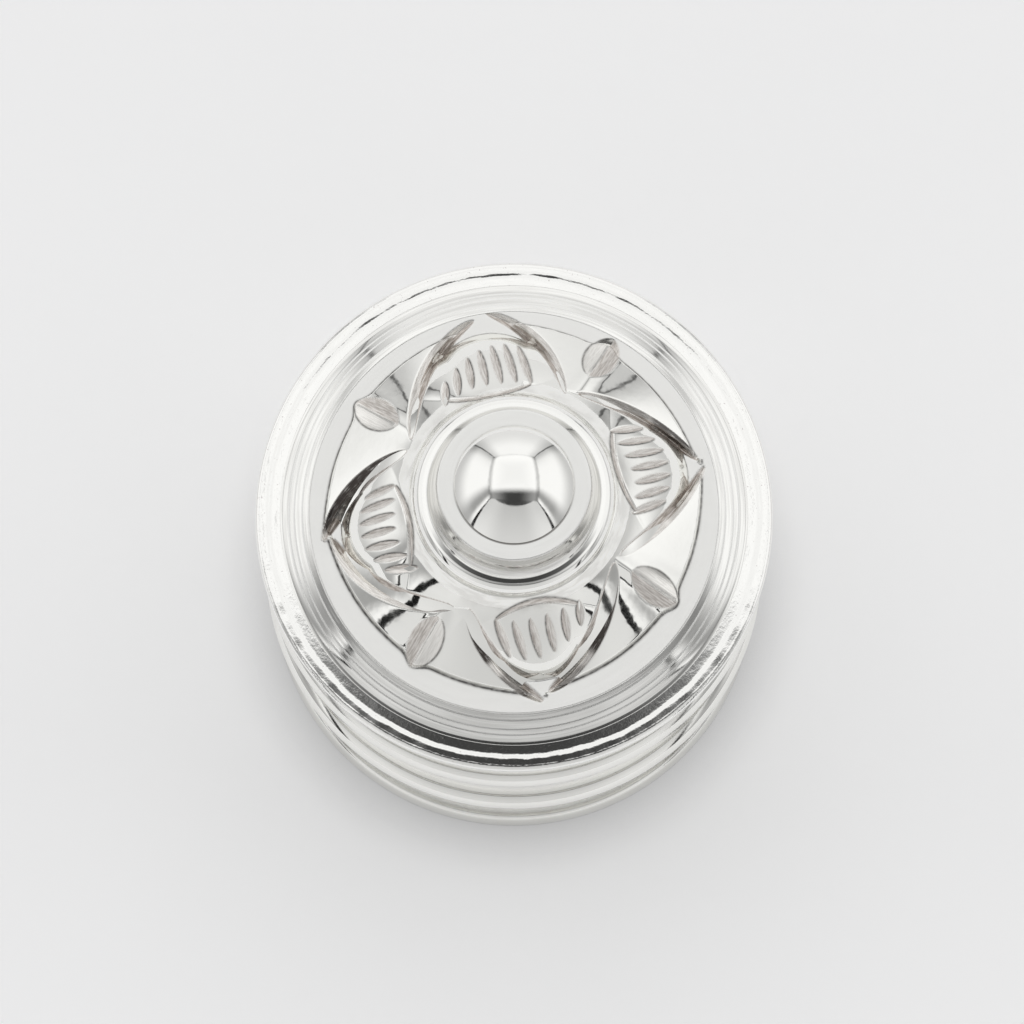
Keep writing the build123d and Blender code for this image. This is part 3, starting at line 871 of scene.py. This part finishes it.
def tent_world():
    """World light by direction: a box-shaped light tent with seams, a front card and the lens opening."""
    world = bpy.data.worlds.new("tent")
    bpy.context.scene.world = world
    world.use_nodes = True
    tree = world.node_tree
    tree.nodes.clear()

    def put(socket, value):
        """Sets a number on a socket or links a value to it."""
        if isinstance(value, (int, float)):
            socket.default_value = value
        else:
            tree.links.new(value, socket)

    def op(kind, *values):
        """Sum, product or the like of numbers."""
        node = tree.nodes.new("ShaderNodeMath")
        node.operation = kind
        for socket, value in zip(node.inputs, values):
            put(socket, value)
        return node.outputs[0]

    def band(*values):
        """Value, low, high, first, last: first below low, last above high, eased between."""
        node = tree.nodes.new("ShaderNodeMapRange")
        node.interpolation_type = "SMOOTHSTEP"
        for name, value in zip(RAMP_SOCKETS, values):
            put(node.inputs[name], value)
        return node.outputs[0]

    def pick(test, yes, no):
        """test * yes + (1 - test) * no"""
        return op("ADD", op("MULTIPLY", test, yes), op("MULTIPLY", op("SUBTRACT", 1.0, test), no))

    place = tree.nodes.new("ShaderNodeTexCoord")
    split = tree.nodes.new("ShaderNodeSeparateXYZ")
    tree.links.new(place.outputs["Generated"], split.inputs[0])
    x, y, z = split.outputs
    ax = op("ABSOLUTE", x)
    tiny = 0.0005
    # The tent's walls in shares of its height over the lid; the front and rear lean, the front is askew
    half, rear, rear_lean, front, lean, askew = 0.65, 0.86, 0.24, 0.57, 0.28, 0.06
    to_top = op("DIVIDE", 1.0, op("MAXIMUM", z, tiny))
    to_side = op("DIVIDE", half, op("MAXIMUM", ax, tiny))
    to_rear = op("DIVIDE", rear, op("MAXIMUM", op("SUBTRACT", y, op("MULTIPLY", z, rear_lean)), tiny))
    ahead = op("SUBTRACT", op("SUBTRACT", op("MULTIPLY", z, lean), y), op("MULTIPLY", x, askew))
    to_front = op("DIVIDE", front, op("MAXIMUM", ahead, tiny))
    reach = op("MINIMUM", op("MINIMUM", to_top, to_side), op("MINIMUM", to_rear, to_front))
    # Where the look meets the tent, how far that is from its walls, and how light each wall is there
    px, py = op("MULTIPLY", ax, reach), op("MULTIPLY", y, reach)
    pz = op("MAXIMUM", op("MULTIPLY", z, reach), 0.0)
    from_side = op("SUBTRACT", half, px)
    from_rear = op("ADD", op("SUBTRACT", op("MULTIPLY", pz, rear_lean), py), rear)
    from_top = op("SUBTRACT", 1.0, pz)
    from_front = op("SUBTRACT", front, op("MULTIPLY", ahead, reach))
    near = 0.004
    on_top = op("LESS_THAN", from_top, near)
    on_rear = op("LESS_THAN", from_rear, near)
    on_front = op("LESS_THAN", from_front, near)
    top_level = band(op("MAXIMUM", px, op("ABSOLUTE", op("SUBTRACT", py, 0.4))), 0.1, 0.62, 0.93, 1.04)
    side_rise = band(pz, 0.03, 0.32, 0.6, 1.0)
    side_fade = band(op("ABSOLUTE", op("SUBTRACT", py, 0.1)), 0.35, 1.0, 1.0, 0.75)
    fold = op("MULTIPLY", band(from_front, 0.05, 0.16, 0.0, 1.0), band(from_front, 0.2, 0.45, 1.0, 0.0))
    fold = op("MULTIPLY", fold, band(pz, 0.0, 0.4, 0.3, 0.65))
    side_level = op("MULTIPLY", op("MULTIPLY", side_rise, side_fade), op("SUBTRACT", 1.0, fold))
    rear_level = band(pz, 0.05, 0.6, 0.78, 0.98)
    front_level = op("MULTIPLY", band(pz, 0.0, 0.8, 0.68, 0.54), band(px, 0.12, 0.42, 1.0, 1.2))
    level = pick(on_front, front_level, side_level)
    level = pick(on_rear, rear_level, level)
    level = pick(on_top, top_level, level)
    # Seams of the tent, darker and wider at the front
    from_corner = op("ADD", from_side, from_rear)
    rear_seam = band(from_corner, 0.008, 0.03, 0.2, 1.0)
    rear_seam = op("MULTIPLY", rear_seam, band(from_corner, 0.02, 0.3, 0.68, 1.0))
    from_front_corner = op("ADD", from_side, from_front)
    front_width = band(pz, 0.0, 1.0, 0.047, 0.018)
    front_seam = band(from_front_corner, op("MULTIPLY", front_width, 0.7), front_width, 0.015, 1.0)
    edge_seam = band(op("ADD", from_side, from_top), 0.01, 0.12, 0.6, 1.0)
    back_edge = band(op("ADD", from_rear, from_top), 0.005, 0.08, 0.85, 1.0)
    seams = op("MULTIPLY", op("MULTIPLY", rear_seam, front_seam), op("MULTIPLY", edge_seam, back_edge))
    # Lens opening above the front card
    bow = op("MULTIPLY", px, px)
    card_top = op("ADD", op("MULTIPLY", bow, 0.85), 0.785)
    opening = op("MULTIPLY", band(op("SUBTRACT", pz, card_top), -0.02, 0.03, 0.0, 1.0), on_front)
    opening_top = op("MULTIPLY", band(py, -0.14, 0.05, 1.0, 0.0), on_top)
    dark = op("MULTIPLY", op("MAXIMUM", opening, opening_top), band(px, 0.1, 0.62, 1.0, 0.7))
    lens_level, backdrop_level = 0.05, 0.84
    level = pick(dark, lens_level, op("MULTIPLY", level, seams))
    ray = tree.nodes.new("ShaderNodeLightPath")
    seen = pick(ray.outputs["Is Camera Ray"], backdrop_level, level)
    sky = tree.nodes.new("ShaderNodeBackground")
    sky.inputs["Color"].default_value = (1, 1, 1, 1)
    tree.links.new(seen, sky.inputs["Strength"])
    out = tree.nodes.new("ShaderNodeOutputWorld")
    tree.links.new(sky.outputs[0], out.inputs[0])


def floor_plane():
    """Pale sheet under the box, with a painted contact shadow that darkens it close to the box, a little
    lighter to the eye than the tent lights it.
    """
    size, shade_reach, lift = 4000.0, 5.5, 0.15
    shaded, lit = (0.25, 0.25, 0.25, 1), (0.945, 0.945, 0.95, 1)
    corners = np.array([[-size, -size, 0], [size, -size, 0], [size, size, 0], [-size, size, 0]])
    floor = make_mesh("floor", corners, [(0, 1, 2, 3)])
    material = bpy.data.materials.new("tent_floor")
    material.use_nodes = True
    tree = material.node_tree
    shader = tree.nodes["Principled BSDF"]
    # Painted contact shadow: ambient occlusion mixes the sheet's colour from lit to shaded near the box
    shade = tree.nodes.new("ShaderNodeAmbientOcclusion")
    shade.samples = 8
    shade.inputs["Distance"].default_value = shade_reach * MM
    tint = tree.nodes.new("ShaderNodeMix")
    tint.data_type = "RGBA"
    tree.links.new(shade.outputs["AO"], tint.inputs["Factor"])
    tint.inputs["A"].default_value = shaded
    tint.inputs["B"].default_value = lit
    tree.links.new(tint.outputs["Result"], shader.inputs["Base Color"])
    shader.inputs["Roughness"].default_value = 0.9
    shader.inputs["Specular IOR Level"].default_value = 0.0
    ray = tree.nodes.new("ShaderNodeLightPath")
    seen = tree.nodes.new("ShaderNodeMath")
    seen.operation = "MAXIMUM"
    tree.links.new(ray.outputs["Is Camera Ray"], seen.inputs[0])
    tree.links.new(ray.outputs["Is Glossy Ray"], seen.inputs[1])
    glow = tree.nodes.new("ShaderNodeMath")
    glow.operation = "MULTIPLY"
    tree.links.new(seen.outputs[0], glow.inputs[0])
    glow.inputs[1].default_value = lift
    shader.inputs["Emission Color"].default_value = (1, 1, 1, 1)
    tree.links.new(glow.outputs[0], shader.inputs["Emission Strength"])
    floor.data.materials.append(material)


def photo_camera():
    """Looks down at the lid, a little from the front. The focal length and the aim's offset from the
    lid's rim are in pixels of a picture 1024 wide."""
    tilt = radians(11.0)
    distance, focal, picture, sensor = 480.0, 6217.0, 1024, 36.0
    rim_level, left_px, up_px = 31.8, 2.0, 2.5
    per_px = distance / focal
    up = np.array([0, cos(tilt), sin(tilt)])
    away = np.array([0, -sin(tilt), cos(tilt)])
    aim = np.array([-left_px * per_px, 0, rim_level]) + up * up_px * per_px
    data = bpy.data.cameras.new("camera")
    data.sensor_width = sensor
    data.lens = focal / picture * sensor
    data.clip_start, data.clip_end = 0.01, 20.0
    camera = bpy.data.objects.new("camera", data)
    camera.location = (aim + distance * away) * MM
    camera.rotation_euler = (tilt, 0, 0)
    bpy.context.scene.collection.objects.link(camera)
    bpy.context.scene.camera = camera


tent_world()
floor_plane()
photo_camera()
bpy.context.scene.view_settings.view_transform = "Standard"
